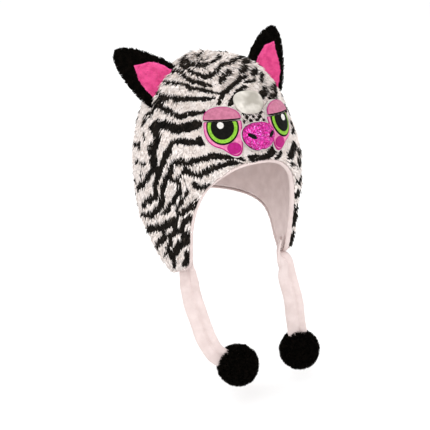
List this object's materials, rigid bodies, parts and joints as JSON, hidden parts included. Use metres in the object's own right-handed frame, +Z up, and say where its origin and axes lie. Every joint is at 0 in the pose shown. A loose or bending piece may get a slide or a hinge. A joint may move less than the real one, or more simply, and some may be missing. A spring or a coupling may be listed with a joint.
{
  "type": "plush animal hat with ear flaps",
  "caption": "Lined plush animal hat with striped fur, padded ears, an appliqué face, ear flaps, and flat fleece ties that end in pompoms.",
  "frame": {"origin": "where the inside of the crown rests on top of the wearer's head", "axes": "+X to the wearer's left, +Y to the back of the head, +Z up; the face looks along -Y"},
  "size_m": [0.2075, 0.2147, 0.393],
  "materials": {
    "striped_plush": "plush",
    "fleece": "brushed fleece",
    "black_plush": "plush",
    "pink_plush": "short plush",
    "white_felt": "felt",
    "green_thread": "embroidery",
    "black_thread": "embroidery",
    "white_thread": "embroidery",
    "pink_thread": "felt",
    "magenta_foil": "glitter cloth",
    "silver_cloth": "metallic cloth"
  },
  "bodies": {
    "root": {"shell_front_right": "striped_plush", "shell_front_left": "striped_plush", "shell_back_left": "striped_plush", "shell_back_right": "striped_plush", "lining": "fleece", "edge_binding": "fleece", "eye_backing_right": "white_felt", "eye_rim_right": "pink_thread", "eye_iris_right": "green_thread", "eye_pupil_right": "black_thread", "eye_glint_right": "white_thread", "eye_lid_right": "pink_thread", "cheek_spot_right": "magenta_foil", "nostril_right": "black_thread", "ear_right": "black_plush", "ear_inner_right": "pink_plush", "tie_right": "fleece", "pompom_right": "black_plush", "eye_backing_left": "white_felt", "eye_rim_left": "pink_thread", "eye_iris_left": "green_thread", "eye_pupil_left": "black_thread", "eye_glint_left": "white_thread", "eye_lid_left": "pink_thread", "cheek_spot_left": "magenta_foil", "nostril_left": "black_thread", "ear_left": "black_plush", "ear_inner_left": "pink_plush", "tie_left": "fleece", "pompom_left": "black_plush", "nose_backing": "white_felt", "nose": "magenta_foil", "forehead_patch": "silver_cloth"}
  },
  "joints": []
}
